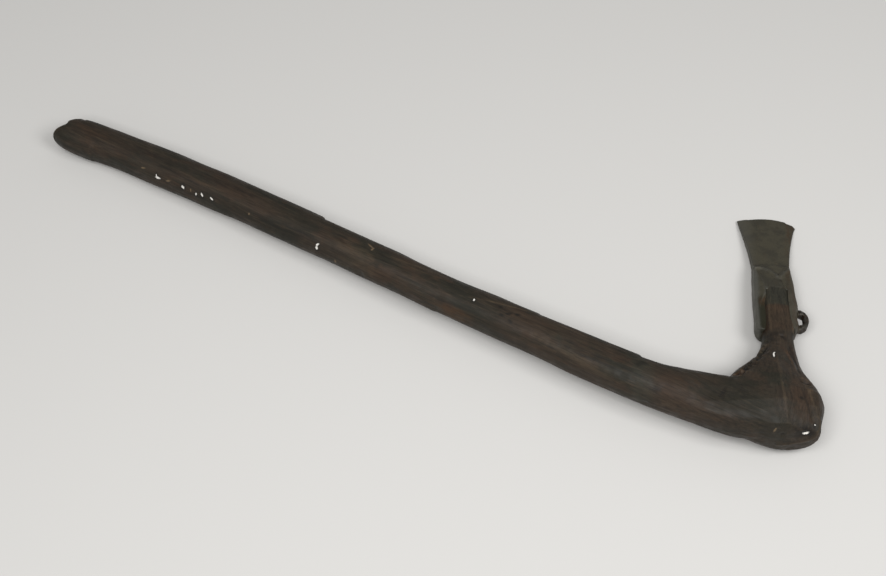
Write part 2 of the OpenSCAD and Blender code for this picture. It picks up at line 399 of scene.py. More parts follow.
# %% Bites out of the knee
# Middle (across, along, up), reach along the same three, and depth; a negative depth is a lump
NOTCHES = [
    ((15.5, -59.5, 19), (5.5, 3.8, 10), 3.2),
    ((18.5, -60.5, 11), (6, 3.6, 12), 2.4),
    ((20, -68.5, 19.5), (5, 4.5, 9), -1.1),
    ((15, -104.5, 8), (7.5, 8, 5), 2.4),
    ((-4.5, -106, 5), (4, 6, 4), 1.2),
    ((9.4, -82.8, 25), (2.6, 2.0, 4), 1.2),
    ((-53, -78, 21), (2.4, 6, 5), 1.3),
    ((25.5, -100, 6), (4, 4, 4), 1.1),
    ((-8, -36, 18), (1.6, 3.4, 4), 0.7),
    ((8, -20, 12), (3, 5, 6), 1.0),
    ((-11, -14, 8), (3, 4, 8), 1.0),
    ((1, -10, 13), (4, 2.5, 5), 0.9),
    ((-4, -19, 14), (5, 2.4, 5), 0.8),
    ((-30, -98, -8), (9, 6, 9), 1.2),
    ((10, -105, -14), (10, 6, 7), 1.4),
    ((28, -84, -12), (7, 10, 8), 1.2),
]
# The ragged shoulder, from the neck to the handle
SHOULDER = [
    (-14, -21, 7), (-18, -29, 11), (-22.5, -35.4, 13.3), (-27, -42, 16),
    (-31.3, -46.5, 16), (-36, -52, 16), (-40, -55, 14),
]
# A furrow along the neck's right side, and a crack at the elbow
NECK_FURROW = [(6.5, -23, 13), (9.4, -33, 13), (11.8, -41, 14), (12, -53, 19)]
CRACK = [(-54.8, -79.8, 21), (-51.2, -77.5, 21.3), (-48.3, -73.8, 21.4)]


def bite_knee():
    """Pushes every notch, bite and furrow into the knee."""
    places = tool_to_head(wood.at)
    for middle, reach, depth in NOTCHES:
        wood.push(-depth * bump_at(places, middle, reach))
    ragged = along_line(places, SHOULDER, 4.2)
    bites = 8.5 * dishes(places, (4.2, 4.2, 12), 61) + 0.9 * ripples(places, (2.4, 2.4, 5), 62)
    wood.push(ragged * (bites - 2.6))
    wood.push(-0.9 * along_line(places, NECK_FURROW, 1.5) - 0.9 * along_line(places, CRACK, 1.1))


bite_knee()
wood.settle()
print("notches and lumps on the knee:", len(NOTCHES))

# %% [markdown]
# A narrow rim stands where the outer slope meets the round of the trunk, with a shallow hollow inside
# it. It could be a bevel, but it wanders, so it follows a line through a few chosen places, from the
# shoulder round the end of the trunk to the underside.

# %% The rim of the outer slope
RIM = [
    (14, -61, 22), (16.7, -67.6, 21.8), (18.2, -74.7, 22.1), (20.4, -80.3, 20.4),
    (23.5, -90.4, 16.9), (26, -95, 11.6), (24.5, -101.5, 7), (21.5, -105, 3),
    (15.8, -106, -1), (4, -106, -7), (-6, -105, -10),
]
RIM_INSIDE = [
    (11, -63, 23), (13.5, -68, 23), (14.8, -75, 23.5),
    (16.5, -81, 22.5), (19, -90, 19.5), (21, -96, 14),
]
places = tool_to_head(wood.at)
wood.push(0.75 * along_line(places, RIM, 1.5) - 0.6 * along_line(places, RIM_INSIDE, 2.4))
wood.settle()
print("places along the rim:", len(RIM))

# %% [markdown]
# The tongue shows in the gap between the wings. Wet wood swells, so it stands nearly level with the
# metal there. At its left it is pared away, which leaves a deep groove beside the narrow wing, and its
# tip is lowered under the metal. All these masks stop at the head, because the handle passes through
# the same stretch of the head's axis far to the left.

# %% Swell the tine between the wings
def swell_tine():
    """Raises the wood's face in the gap and pares its left side."""
    across, along, height = tool_to_head(wood.at).T
    upper = ease(height, 2, 4)
    top = np.interp(along, [-8, 0, 8, 26, 42, 50], [12.9, 12.4, 12.0, 11.6, 10.3, 9.6])
    top = top - 0.012 * (across - 1) ** 2
    gap = ease(-across, -13.6, -12.4) * ease(across, -9.6, -7.6)
    gap = gap * ease(along, -7, 0) * ease(-along, -48, -44)
    wood.at[:, 2] += upper * gap * np.maximum(top - height, 0)
    wood.at[:, 2] -= upper * 1.5 * ease(along, 46, 50) * (np.abs(across) < 20)
    pared = ease(-across, 8.2, 10.6) * ease(along, -9, 0) * ease(-along, -38, -33)
    pared = pared * (across > -20)
    wood.at[:, 2] += upper * pared * np.minimum(7.2 - height, 0)
    across, along, height = tool_to_head(wood.at).T
    face = ease(height, 5, 7) * ease(-np.abs(across), -12.5, -11)
    face = face * ease(along, -9, -3) * ease(-along, -52, -49)
    wood.relax(0.5 * face, 8)


swell_tine()
wood.settle()
tongue_end = tool_to_head(wood.at[np.abs(across) < 20])[:, 1].max()
print("the tongue reaches", tongue_end.round(1), "mm past the bronze's butt")

# %% [markdown]
# ## The broken butt
# The handle's far end is not sawn. It broke or wore to an oblique end: one round lobe sticks out on
# the near side, then come a shallow hollow and a low second lobe, and the far side falls back. The end
# could be cut with a solid, but a worn end has no tool marks, so its shape is drawn as a line, and
# every point beyond the line is moved back to it.

# %% The end's line: place across the handle, and how far the wood reaches there
BUTT_ACROSS = [-67, -63.5, -60, -57, -54, -51, -48, -45, -42, -39, -36, -33, -30]
BUTT_REACH = [-693, -697.5, -699.5, -699.5, -698, -695, -692.5, -692, -693, -692, -689.5, -688, -682]


def break_butt():
    """Shapes the butt's end."""
    x, y, z = wood.at.T
    line = np.interp(y, BUTT_ACROSS, BUTT_REACH) + 0.012 * z * z + 0.06 * z
    line += 0.9 * ripples(wood.at, (60, 5, 5), 31)
    wood.at[:, 0] = np.where(x < -660, -pressed(-x, -line, 1.0), x)
    near = ease(-wood.at[:, 0], 668, 678)
    wood.relax(0.45 * near, 5)


break_butt()
wood.settle()
print("the butt ends at", wood.at[:, 0].min().round(1))

# %% [markdown]
# ## The handle's surface
# A hand-shaved handle is nearly round but never straight: long shallow facets, a slow waviness, a few
# steps where the knife stopped, and fine furrows where softer grain wore away. The furrows follow the
# handle on the branch, and the neck's own direction on the trunk. A displacement texture could do all
# this too, but pushing the points keeps every millimetre measurable.

# %% Waves, facets, steps and furrows
# Middle in the tool's plane, reach along its three axes, and depth; a negative depth is a swelling
DENTS = [
    ((-374, -54, -3), (6, 6, 8), 1.2),
    ((-350, -20, 6), (20, 9, 18), -0.5),
    ((-101, -53, -5), (6, 6, 8), 1.1),
    ((-680, -34, 10), (3.2, 6, 9), 1.1),
    ((-560, -22, 4), (40, 10, 20), 0.5),
    ((-610, -58, 0), (34, 8, 18), 0.5),
    ((-250, -54, 0), (40, 8, 18), 0.5),
    ((-470, -56, 0), (40, 8, 18), -0.4),
]
# Steps where the knife stopped: start along the handle, length, depth, and the side that it is on
KNIFE_STEPS = [
    (-429, 60, 1.5, 1),
    (-122, 46, 1.5, 1),
    (-655, 70, 0.8, -1),
    (-300, 80, 0.8, -1),
    (-215, 50, 0.7, 1),
]


def weather_wood():
    """Gives the wood its unevenness, along the grain."""
    shaft = wood.at
    trunk = tool_to_head(shaft)
    on_trunk = np.maximum(ease(trunk[:, 1], -75, -45), ease(trunk[:, 0], -22, -4))
    on_trunk = on_trunk * ease(shaft[:, 0], -75, -40)
    for middle, reach, depth in DENTS:
        wood.push(-depth * bump_at(shaft, middle, reach))
    for start, length, depth, side in KNIFE_STEPS:
        ramp = ease(shaft[:, 0], start - 1.5, start + 2.5)
        ramp = ramp * np.clip(1 - (shaft[:, 0] - start) / length, 0, 1)
        wood.push(-depth * ramp * ease(side * wood.out[:, 1], 0.3, 0.9))
    waves = 0.45 * ripples(shaft, (75, 26, 26), 1) + 0.2 * ripples(shaft, (24, 13, 13), 2)
    facets = 1.0 * dishes(shaft, (52, 17, 17), 3) + 0.7 * dishes(trunk, (15, 24, 15), 9) * on_trunk
    furrows_shaft = 0.16 * ripples(shaft, (38, 2.6, 2.6), 5) + 0.08 * ripples(shaft, (15, 1.9, 1.9), 6)
    furrows_trunk = 0.16 * ripples(trunk, (2.7, 30, 2.7), 7) + 0.10 * ripples(trunk, (2, 12, 2), 8)
    furrows = furrows_shaft * (1 - on_trunk) + furrows_trunk * on_trunk
    # Next to the knee the handle is a little fuller on its far side
    fuller = 0.8 * ease(wood.out[:, 1], 0.1, 0.7) * ease(-shaft[:, 0], 90, 140)
    fuller *= ease(shaft[:, 0], -275, -245)
    wood.push(loose * (waves + facets - 0.2 + furrows + fuller))


weather_wood()
wood.settle()
print("dents and knife steps:", len(DENTS), len(KNIFE_STEPS))

# %% [markdown]
# A material should know where the surface is hollow and where it is proud, because the finishes paint
# shade into the one and a highlight onto the other. The difference between a point and a widely
# smoothed copy of its surroundings says which it is.

# %% Measure hollows and ridges
def relief(clay, rounds):
    """How proud each point stands over its smoothed surroundings, in millimetres."""
    smooth = clay.at.copy()
    for _ in range(rounds):
        smooth += 0.5 * (clay.around(smooth) - smooth)
    return ((clay.at - smooth) * clay.out).sum(axis=1)


WOOD_WIDE = 24
WOOD_STRONG = 1.6
wood_relief = relief(wood, WOOD_WIDE)
wood.keep("proud", np.clip(wood_relief * WOOD_STRONG, -1, 1))
print("the wood's relief runs from", wood_relief.min().round(2), "to", wood_relief.max().round(2), "mm")

# %% [markdown]
# ## The bronze head
# The casting came out of a two-piece mould and was hammered and ground. Its wings are not alike: the
# left one is a narrow fold with a deep groove beside the wood, and the right one lies broad and flat
# over its tine. The head is much smaller than the handle, so its net is finer. A little smoothing
# rounds every edge first, because no cast edge stays sharp in the ground or in the hand.

# %% Start the bronze
BRONZE_NET = 0.5
head = even_skin("adze_head", "adze_head_cast", BRONZE_NET)
bronze = Clay(head)
bronze.relax(0.5, 7)
bronze.settle()
face = tool_to_head(bronze.at)
print("the bronze lies on its axis from", face[:, 1].min().round(1), "to", face[:, 1].max().round(1))


# %% Open the left wing and sink the groove beside the tine
def left_margin(along):
    """Where the left wing's inner margin runs, across the head."""
    across_at = [-15.8, -15.8, -15.0, -13.4, -10.8, -7.5, -5.0]
    return np.interp(along, [2, 12, 24, 30, 35, 40, 44], across_at)


def open_left_wing():
    """Presses down the fold's inner part, so that the groove beside the tine lies open."""
    across, along, height = tool_to_head(bronze.at).T
    inside = ease(across, left_margin(along), left_margin(along) + 3)
    inside = inside * ease(-across, 6.0, 7.5) * ease(-along, -42, -34) * ease(height, 2, 5)
    floor = np.interp(along, [-2, 6, 30, 42], [8.6, 7.4, 7.6, 10])
    bronze.at[:, 2] += inside * np.minimum(floor - height, 0)


def fill_stop():
    """Raises the channel's floor before the stop, where the wood's tip ends in solid metal."""
    across, along, height = tool_to_head(bronze.at).T
    face_high = np.interp(along, [42, 46, 52, 73], [9.6, 10.2, 9.2, 5.3])
    inside = (np.abs(across - SOCKET_X) < TINE_WIDE / 2 + 0.8) * (height > 0.5)
    inside = inside * ease(along, 42, 43.5) * (along < 74)
    bronze.at[:, 2] += inside * np.maximum(face_high - height, 0)


open_left_wing()
fill_stop()
margins = ease(face[:, 2], 3, 6) * ease(-face[:, 1], -84, -76)
margins = margins * ease(-np.abs(face[:, 0] - 1), -18, -15)
bronze.relax(0.5 * margins, 30)
bronze.settle()
face = tool_to_head(bronze.at)
print("the wings' margins are smoothed over", int((margins > 0.5).sum()), "points")

# %% [markdown]
# A low V of metal, the stop, crosses the face where the blade begins, and keeps the wood from driving
# forward. A shallow groove runs from its point along the right wing's margin. Round them the skin is
# uneven at three scales: slow waves from the hammer, small ones from the mould, and grain from the
# ground. All are lines and dents again, so each can be seen on its own by leaving the others out.

# %% The stop's V, the groove and the dents
V_LINE = [
    (-14.5, 69.5), (-9, 69.6), (-3.5, 67.0), (0.6, 62.8),
    (3.2, 59.6), (5.6, 58.6), (8.5, 62.5), (13.5, 68.5),
]
RIGHT_GROOVE = [(5.5, 58), (7.6, 50), (9.2, 40), (9.2, 28), (7, 14), (5, 2)]
# Middle (across, along, up), reach along the same three, and height; a negative height is a dent
HEAD_MARKS = [
    ((-2, 51, 8), (9, 10, 6), -0.7),
    ((-15, 55, 7), (4, 12, 6), 0.7),
    ((15, 52, 8), (4, 12, 6), 0.6),
    ((-11, 48, 8), (8, 16, 8), 0.8),
    ((-20, 40, 3), (3, 18, 6), -0.5),
    ((3, 80, 5), (10, 7, 4), -0.35),
    ((-8, 100, 4), (12, 14, 4), -0.25),
]


def mark_head():
    """Raises the stop and adds the casting's dents, bumps and pits."""
    above = ease(face[:, 2], 1.5, 3.0)
    stop = (1.6 * along_line(face, V_LINE, 1.9) - 0.8 * along_line(face, RIGHT_GROOVE, 1.7)) * above
    shallow = ease(face[:, 1], 96, 118)
    skin = 0.30 * ripples(face, (17, 22, 17), 41) + 0.16 * ripples(face, (6, 8, 6), 42)
    grain = 0.07 * ripples(face, (2.1, 2.6, 2.1), 43) + 0.05 * ripples(face, (1.2, 1.2, 1.2), 44)
    wings = ease(-face[:, 1], -72, -60)
    bronze.push(stop + skin * (0.35 + 0.65 * wings) * (1 - 0.6 * shallow) + grain * (1 - 0.5 * shallow))
    for middle, reach, height in HEAD_MARKS:
        bronze.push(height * bump_at(face, middle, reach))


mark_head()
print("dents and bumps on the bronze:", len(HEAD_MARKS))

# %% [markdown]
# Use shows on three places. The butt's rim is dented, the loop's strap is thick and rough, with an
# eye that narrows towards its middle, and the cutting edge was ground away unevenly, most of all at
# its right corner. The edge's points are moved along the head's axis, so that its bow stays smooth.

# %% Wear the butt's rim, the loop and the cutting edge
EYE = (21.0, 16.5)
EYE_HALF = (3.2, 6.5)
STRAP_HALF = 3.25


def thicken_loop():
    """Makes the strap broader, and its eye narrower in the middle than at its two mouths."""
    place = tool_to_head(bronze.at)
    off = (place[:, :2] - EYE) / EYE_HALF
    near_eye = ease(-np.hypot(off[:, 0], off[:, 1]), -1.35, -1.05)
    waist = np.clip(1 - (place[:, 2] / STRAP_HALF) ** 2, 0, 1)
    place[:, :2] -= (0.27 * near_eye * waist)[:, None] * (place[:, :2] - EYE)
    strap = ease(place[:, 0], 19.6, 22) * ease(-place[:, 1], -32, -28)
    place[:, 2] *= 1 + 0.35 * strap
    bronze.at = head_to_tool(place)


def wear_head():
    """Makes the rim and the edge uneven, as use and age left them."""
    rim = ease(-face[:, 1], -5, -1)
    loop = ease(face[:, 0], 19.5, 21.5) * ease(-face[:, 1], -34, -30)
    edge = ease(face[:, 1], 118, 127)
    shift = 0.45 * rim * ripples(face, (5, 30, 5), 51)
    shift -= 0.3 * edge * dishes(face, (5.5, 30, 30), 52)
    side = face[:, 0]
    shift += edge * (1.7 * ease(-side, 12, 26) - 1.3 * ease(side, 16, 19) - 1.2 * ease(side, 23, 26))
    forward = np.array([-math.sin(HEAD_TURN), math.cos(HEAD_TURN), 0])
    bronze.at += shift[:, None] * forward
    bronze.push(loop * 0.22 * ripples(face, (1.9, 1.9, 1.9), 53))


thicken_loop()
wear_head()
bronze.settle()
BRONZE_WIDE = 30
BRONZE_STRONG = 2.2
bronze.keep("proud", np.clip(relief(bronze, BRONZE_WIDE) * BRONZE_STRONG, -1, 1))
print("the bronze spans", (bronze.at.max(axis=0) - bronze.at.min(axis=0)).round(1))


# %% [markdown]
# ## Shader sums that read as sums
# A material here is a short recipe. A node's output is wrapped in a Wire, so that `1 - mask` or
# `grain * 0.5` adds the Math node itself. Everything that is not plain arithmetic is added by one
# method, `add`, which takes the node's type, its settings and the values or wires of its sockets.

# %% Wires and recipes
class Wire:
    """One output socket of a recipe, ready for arithmetic."""

    def __init__(self, recipe, socket):
        self.recipe = recipe
        self.socket = socket

    def sum(self, operation, *values):
        """A Math node with the given operation and values."""
        return self.recipe.add("ShaderNodeMath", {"operation": operation}, *values)

    def __add__(self, other):
        return self.sum("ADD", self, other)

    def __radd__(self, other):
        return self.sum("ADD", other, self)

    def __sub__(self, other):
        return self.sum("SUBTRACT", self, other)

    def __rsub__(self, other):
        return self.sum("SUBTRACT", other, self)

    def __mul__(self, other):
        return self.sum("MULTIPLY", self, other)

    def __rmul__(self, other):
        return self.sum("MULTIPLY", other, self)

    def __or__(self, other):
        """The larger of two masks."""
        return self.sum("MAXIMUM", self, other)

    def between(self, low, high):
        """0 up to low, 1 from high on, and a soft step between them; low may be above high."""
        settings = {"interpolation_type": "SMOOTHSTEP"}
        return self.recipe.add("ShaderNodeMapRange", settings, self, low, high, 0.0, 1.0)


class Recipe:
    """A material that is written as a list of steps."""

    def __init__(self, name):
        self.material = bpy.data.materials.new(name)
        self.material.use_nodes = True
        self.tree = self.material.node_tree
        self.tree.nodes.clear()

    def add(self, kind, settings=None, *values, out=0, **named):
        """Adds a node: settings first, then its sockets in order or by name. Returns one output."""
        node = self.tree.nodes.new(kind)
        for key, value in (settings or {}).items():
            setattr(node, key, value)
        for key, value in itertools.chain(enumerate(values), named.items()):
            socket = node.inputs[key.replace("_", " ") if isinstance(key, str) else key]
            if isinstance(value, Wire):
                self.tree.links.new(value.socket, socket)
            else:
                socket.default_value = value
        return Wire(self, node.outputs[out]) if node.outputs else None

    def vector(self, operation, *values, out=0):
        """A Vector Math node."""
        return self.add("ShaderNodeVectorMath", {"operation": operation}, *values, out=out)

    def blend(self, share, first, second):
        """One colour over another, by a share."""
        node = self.tree.nodes.new("ShaderNodeMix")
        node.data_type = "RGBA"
        for place, value in ((0, share), (6, first), (7, second)):
            socket = node.inputs[place]
            if isinstance(value, Wire):
                self.tree.links.new(value.socket, socket)
            else:
                socket.default_value = value if isinstance(value, float) else (*value, 1.0)
        return Wire(self, node.outputs[2])

    def noise(self, place, scale, detail=3.0, rough=0.55, seed=0.0):
        """Noise from 0 to 1 at a place; scale is how many waves fit in one unit."""
        moved = self.vector("ADD", place, (seed * 7.3, seed * 3.1, seed * 5.7))
        sizes = {"Scale": scale, "Detail": detail, "Roughness": rough}
        return self.add("ShaderNodeTexNoise", {"noise_dimensions": "3D"}, Vector=moved, **sizes)

    def layer(self, name):
        """The number that every point of the skin keeps under a name."""
        return self.add("ShaderNodeAttribute", {"attribute_name": name}, out="Fac")

    def finish(self, colour, roughness, normal, metallic=0.0, **fixed):
        """Joins everything in one Principled shader."""
        parts = {"Base_Color": colour, "Roughness": roughness, "Normal": normal, "Metallic": metallic}
        shader = self.add("ShaderNodeBsdfPrincipled", None, **parts, **fixed)
        self.add("ShaderNodeOutputMaterial", None, Surface=shader)
        return self.material


# %% Places that both finishes use
def tool_places(recipe):
    """The place on the surface in millimetres, once along the handle and once along the head."""
    metres = recipe.add("ShaderNodeTexCoord", out="Object")
    table = recipe.vector("SCALE", metres)
    table.socket.node.inputs["Scale"].default_value = 1 / MM
    head_butt = tuple(to_table(head_to_tool([0, 0, 0])) / MM)
    settings = {"rotation_type": "Z_AXIS", "invert": True}
    from_butt = recipe.vector("SUBTRACT", table, head_butt)
    turned = recipe.add("ShaderNodeVectorRotate", settings, Vector=from_butt, Angle=HEAD_TURN)
    return table, turned


def parts_of(recipe, vector):
    """The three numbers of a vector."""
    split = recipe.add("ShaderNodeSeparateXYZ", None, vector).socket.node
    return [Wire(recipe, split.outputs[k]) for k in range(3)]


print("a recipe's second place starts at", (to_table(head_to_tool([0, 0, 0])) / MM).round(1))


# %% [markdown]
# ## Old wood
# The wood is almost black-brown: oil, smoke and handling darkened it, in clouds that are drawn out
# along the grain. Olive-black and reddish clouds lie under long pale and dark streaks. Hollows are
# painted darker, as painted shade, raised edges a little lighter, as a painted highlight, and a satin
# gloss comes and goes. A painted image could hold all this, but noise in the wood's own millimetres
# has no seams and keeps its size on every side.

# %% Colours of the wood, as the light that they return
BROWN = (0.034, 0.0245, 0.0165)
RED_BROWN = (0.045, 0.027, 0.0165)
OLIVE_BLACK = (0.0205, 0.0185, 0.0125)
GREY_GREEN = (0.029, 0.029, 0.021)
SOOT_AND_SHADE = (0.007, 0.006, 0.005)
TAN_AND_HIGHLIGHT = (0.15, 0.105, 0.062)
RUST = (0.090, 0.043, 0.017)
CHALK = (0.80, 0.77, 0.72)
LAYERS = {
    "olive": OLIVE_BLACK,
    "green": GREY_GREEN,
    "red": RED_BROWN,
    "rust": RUST,
    "tan": TAN_AND_HIGHLIGHT,
    "soot": SOOT_AND_SHADE,
}
print("stain colours:", ", ".join(LAYERS))

# %% [markdown]
# Some marks have a place of their own. Pale ground shows in a row of small chips where the surface
# has flaked, fainter scratches lie between them, and single stains and sooty spots sit on the handle,
# the knee and the neck. Each mark is one row of numbers. Its place only has to be near the surface,
# because it is moved along the line of sight until it meets the wood.

# %% Chips, scratches and stains
# Place, half length, half width in millimetres, and turn in degrees; on the handle in the tool's
# plane, and in the lists for the head as across, along and up
CHIPS = [
    ((-586.0, -53.6, 6.2), 0.5, 1.0, 30),
    ((-583.5, -54.8, 6.2), 2.5, 0.45, 4),
    ((-557.4, -53.4, 6.9), 1.5, 0.7, -12),
    ((-543.7, -53.3, 5.2), 0.8, 0.55, 0),
    ((-537.7, -52.6, 6.6), 1.5, 0.65, -28),
    ((-527.8, -52.2, 6.8), 1.8, 0.5, -14),
    ((-418.3, -51.0, 7.9), 1.3, 0.7, 30),
    ((-417.8, -53.2, 6.2), 1.2, 0.8, 0),
    ((-268.6, -41.8, 15.0), 0.8, 1.1, 0),
]
HEAD_CHIPS = [
    ((-8.6, -35.2, 19.0), 0.75, 2.2, 0),
    ((-8.0, -32.6, 18.5), 0.6, 1.7, -35),
    ((13.8, -105.4, 8.8), 2.5, 0.7, 12),
    ((20.6, -101.0, 14.5), 0.6, 0.45, 0),
]
FAINT = [
    ((-600.0, -53.7, 8.8), 1.9, 0.4, 10),
    ((-573.0, -54.0, 6.9), 2.2, 0.45, 15),
    ((-549.5, -53.0, 6.8), 0.5, 1.0, 40),
    ((-489.0, -51.0, 7.6), 0.9, 0.6, 0),
    ((-399.4, -53.0, -1.0), 1.0, 0.6, 0),
    ((-374.5, -34.0, 14.8), 3.4, 0.8, -20),
    ((-371.5, -36.0, 14.4), 0.8, 2.0, -15),
]
HEAD_FAINT = [((-11.2, -104.8, 9.6), 1.6, 0.6, 35)]
# Stains have two numbers more: the layer's name, and how strong it is
STAINS = [
    ((-112.0, -38.0, 12.0), 9, 22, 32, "green", 0.75),
    ((-80.0, -43.0, 14.0), 24, 9, -8, "red", 0.6),
    ((-42.5, 1.0, 15.5), 5.5, 2.2, 38, "rust", 0.75),
    ((-28.0, -30.0, 20.0), 26, 17, -12, "olive", 0.7),
    ((-380.0, -46.0, 12.0), 17, 8, -10, "tan", 0.16),
    ((-352.0, -50.0, 8.0), 13, 4, -6, "red", 0.7),
    ((-450.0, -36.0, 12.0), 24, 9, 0, "olive", 0.6),
    ((-255.0, -46.0, 12.0), 22, 13, 0, "olive", 0.6),
    ((-282.0, -54.0, 3.0), 18, 1.2, 3, "rust", 0.35),
    ((-215.0, -42.0, 14.0), 26, 11, 0, "red", 0.35),
    ((-500.0, -42.0, 14.0), 30, 8, -3, "red", 0.35),
    ((-660.0, -44.0, 12.0), 24, 9, 0, "red", 0.3),
    ((-236.0, -40.0, 15.0), 3.0, 1.2, 30, "soot", 0.8),
    ((-241.0, -44.0, 15.0), 2.0, 1.4, 0, "soot", 0.8),
    ((-229.0, -37.0, 15.0), 2.4, 1.0, 20, "soot", 0.8),
    ((-246.0, -37.0, 15.0), 1.6, 1.2, 0, "soot", 0.7),
    ((-232.0, -46.0, 14.0), 2.2, 1.0, -20, "soot", 0.7),
    ((-243.0, -33.0, 15.0), 22, 0.8, 14, "tan", 0.3),
    ((-360.0, -38.0, 15.0), 7, 0.9, -8, "soot", 0.6),
    ((-330.0, -34.0, 15.0), 26, 1.2, 6, "tan", 0.14),
    ((-400.0, -30.0, 14.0), 40, 2.5, 3, "olive", 0.6),
    ((-560.0, -38.0, 14.0), 60, 3.0, 2, "soot", 0.35),
    ((-600.0, -46.0, 14.0), 50, 2.0, -2, "soot", 0.3),
    ((-460.0, -50.0, 8.0), 60, 2.5, 0, "soot", 0.3),
    ((-170.0, -48.0, 9.0), 40, 2.0, -4, "tan", 0.14),
    ((-96.0, -47.0, 13.0), 4.0, 2.0, 20, "soot", 0.5),
    ((-118.0, -30.0, 14.0), 5.0, 3.0, 40, "soot", 0.5),
]
HEAD_STAINS = [
    ((1.0, 12.0, 12.0), 10, 15, 0, "tan", 0.10),
    ((-6.0, -58.0, 25.0), 0.9, 24, 2, "tan", 0.10),
    ((9.0, -80.0, 23.0), 9, 19, -8, "red", 0.75),
    ((14.0, -104.0, 9.0), 8, 5, 10, "soot", 0.85),
    ((-10.0, -102.0, 10.0), 22, 5, 8, "olive", 0.7),
    ((7.0, -36.0, 15.0), 1.6, 11, 12, "rust", 0.45),
    ((9.5, -30.0, 12.0), 2.0, 15, 12, "soot", 0.6),
    ((-2.0, -7.0, 13.0), 7, 2.2, 12, "soot", 0.6),
    ((3.0, -13.0, 13.5), 4, 1.6, -30, "soot", 0.55),
    ((-7.0, -13.0, 12.0), 2, 4, 20, "soot", 0.5),
    ((9.4, -82.8, 25.0), 2.0, 1.5, 0, "soot", 0.9),
    ((-54.0, -79.0, 21.0), 1.6, 4.0, -35, "soot", 0.75),
    ((-27.0, -41.0, 13.5), 19, 2.2, 50, "soot", 0.75),
    ((-37.5, -53.5, 14.0), 2.6, 1.6, 30, "rust", 0.7),
    ((9.6, -36.0, 13.0), 1.0, 12, 12, "soot", 0.8),
    ((12.6, -36.0, 11.0), 1.5, 12, 10, "rust", 0.35),
    ((17.5, -78.0, 23.0), 1.2, 16, 16, "tan", 0.22),
    ((13.0, -84.0, 24.0), 0.9, 12, 14, "soot", 0.6),
]
print("chips and scratches:", len(CHIPS + HEAD_CHIPS + FAINT + HEAD_FAINT))
print("stains:", len(STAINS + HEAD_STAINS))

# %% [markdown]
# A stain has soft borders, so one number on each point of the net is fine enough for it, and the
# finish needs only two nodes for each colour. A chip is hardly larger than a face of the net and has
# a sharp outline, so it is drawn in the finish itself, and only its dark rim is kept on the points.


# %% Stains as numbers on the skin
def on_head(marks):
    """Marks whose place and turn are given along the head, in the tool's plane instead."""
    turn = math.degrees(HEAD_TURN)
    return [
        (head_to_tool(place), long, wide, angle + turn, *rest)
        for place, long, wide, angle, *rest in marks
    ]


def marks_on(clay, marks, grow=0.0, soft=0.7):
    """How strongly each point lies inside any of the marks, with ragged outlines."""
    ragged = 0.45 * ripples(clay.at, (3.1, 3.1, 3.1), 71) + 0.25 * ripples(clay.at, (9, 9, 9), 72)
    total = np.zeros(clay.count)
    for place, long, wide, angle, *rest in marks:
        x, y, z = (clay.at - clay.seen(place)).T
        c, s = math.cos(math.radians(angle)), math.sin(math.radians(angle))
        lengthwise = (x * c + y * s) / (long + grow)
        crosswise = (y * c - x * s) / (wide + grow)
        upright = z / max(long, wide, 3)
        away = np.linalg.norm([lengthwise, crosswise, upright], axis=0) + ragged
        total = np.maximum(total, (rest[-1] if rest else 1) * ease(-away, -1 - soft, soft - 1))
    return total


all_stains = STAINS + on_head(HEAD_STAINS)
for layer in LAYERS:
    shares = marks_on(wood, [stain for stain in all_stains if stain[4] == layer])
    wood.keep(layer, shares)
    print(layer, "covers", int((shares > 0.1).sum()), "points")
wood.keep("rim", marks_on(wood, CHIPS + on_head(HEAD_CHIPS), grow=1.0, soft=0.6))


# %% A small patch with a sharp outline
def patches(recipe, table, spots, soft):
    """The union of small patches, each with a ragged outline."""
    ragged = recipe.noise(table, 0.9, 1.0) * 1.1 - 0.55
    settings = {"rotation_type": "Z_AXIS", "invert": True}
    total = None
    for place, long, wide, angle in spots:
        off = recipe.vector("SUBTRACT", table, tuple(to_table(wood.seen(place)) / MM))
        turned = recipe.add("ShaderNodeVectorRotate", settings, Vector=off, Angle=math.radians(angle))
        scaled = recipe.vector("MULTIPLY", turned, (1 / long, 1 / wide, 1 / 3))
        near = 1 - recipe.vector("LENGTH", scaled, out="Value")
        total = near if total is None else total | near
    return (total - ragged).between(-soft, soft)


